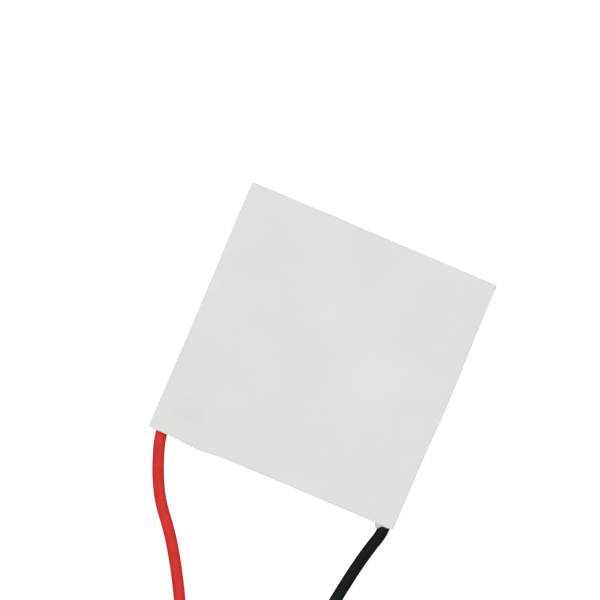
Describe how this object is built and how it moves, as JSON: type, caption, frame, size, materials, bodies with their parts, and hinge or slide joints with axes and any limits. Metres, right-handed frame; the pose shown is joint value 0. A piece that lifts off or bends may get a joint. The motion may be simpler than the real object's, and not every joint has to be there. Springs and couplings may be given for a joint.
{
  "type": "thermoelectric cooling module",
  "caption": "Thin square ceramic cooling module: two white plates over a sealed field of semiconductor pellets, with a red and a black lead from one edge.",
  "frame": {"origin": "middle of the hot face, on its plane", "axes": "+Z from the hot face to the cold face, -Y towards the edge the leads leave, +X from the red lead towards the black one"},
  "size_m": [0.0631, 0.091, 0.0041],
  "materials": {
    "alumina": "as-fired matte",
    "copper": "bright copper, lightly tinned by the solder",
    "n_telluride": "sawn, dull metallic",
    "p_telluride": "sawn, dull metallic",
    "silicone": "cured sealant, satin",
    "red_pvc": "satin",
    "black_pvc": "satin",
    "tinned_copper": "tinned strands",
    "solder": "bright solder",
    "tie_plastic": "satin"
  },
  "bodies": {
    "root": {"hot_side_plate": "alumina", "cold_side_plate": "alumina", "hot_side_tabs": "copper", "cold_side_tabs": "copper", "red_lead_pad": "copper", "black_lead_pad": "copper", "n_type_pellets": "n_telluride", "p_type_pellets": "p_telluride", "edge_sealant": "silicone", "red_lead": "red_pvc", "red_lead_coil": "red_pvc", "red_lead_inner_end": "tinned_copper", "red_lead_tip": "tinned_copper", "red_lead_solder_joint": "solder", "red_lead_tie": "tie_plastic", "black_lead": "black_pvc", "black_lead_coil": "black_pvc", "black_lead_inner_end": "tinned_copper", "black_lead_tip": "tinned_copper", "black_lead_solder_joint": "solder", "black_lead_tie": "tie_plastic"}
  },
  "joints": []
}
